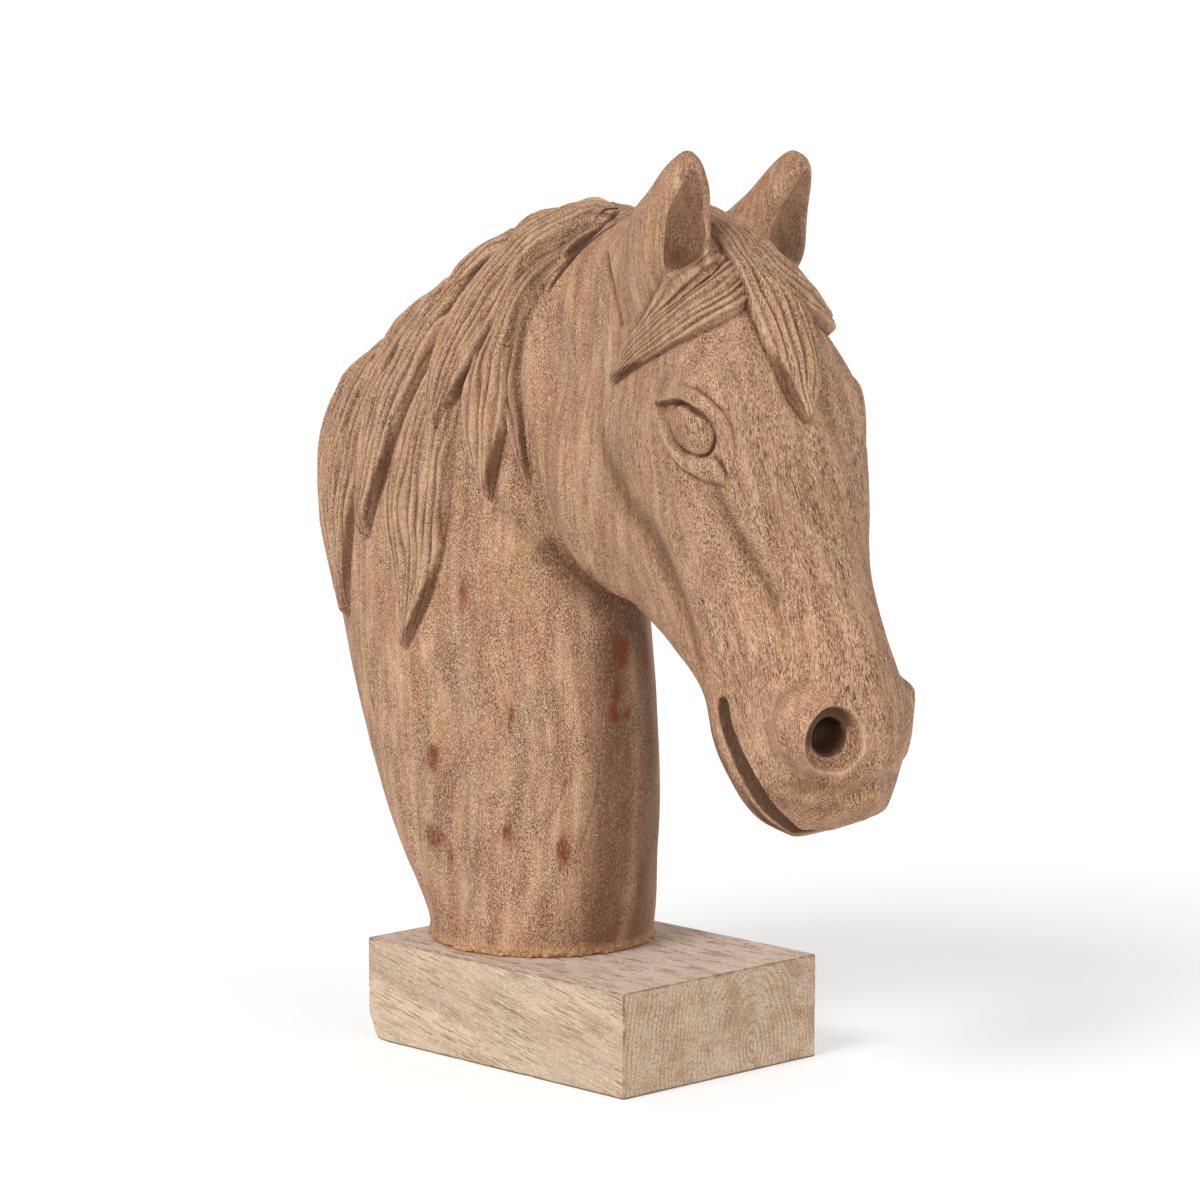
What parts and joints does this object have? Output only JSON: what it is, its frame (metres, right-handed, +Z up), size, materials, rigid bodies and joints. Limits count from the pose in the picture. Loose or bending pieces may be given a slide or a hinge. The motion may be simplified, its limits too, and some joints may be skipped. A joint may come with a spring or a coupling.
{
  "type": "wooden horse head sculpture",
  "caption": "Carved wooden horse head and neck with flowing mane, forelock and open ears, standing on a rectangular wooden plinth that rests on its underside.",
  "frame": {"origin": "centre of the plinth's underside", "axes": "+Z up; +X along the plinth's long side, the way the horse looks; -Y out of its right side"},
  "size_m": [0.3726, 0.128, 0.4366],
  "materials": {
    "carved_wood": "matt",
    "pale_wood": "matt"
  },
  "bodies": {
    "root": {"horse_head": "carved_wood", "plinth": "pale_wood"}
  },
  "joints": []
}
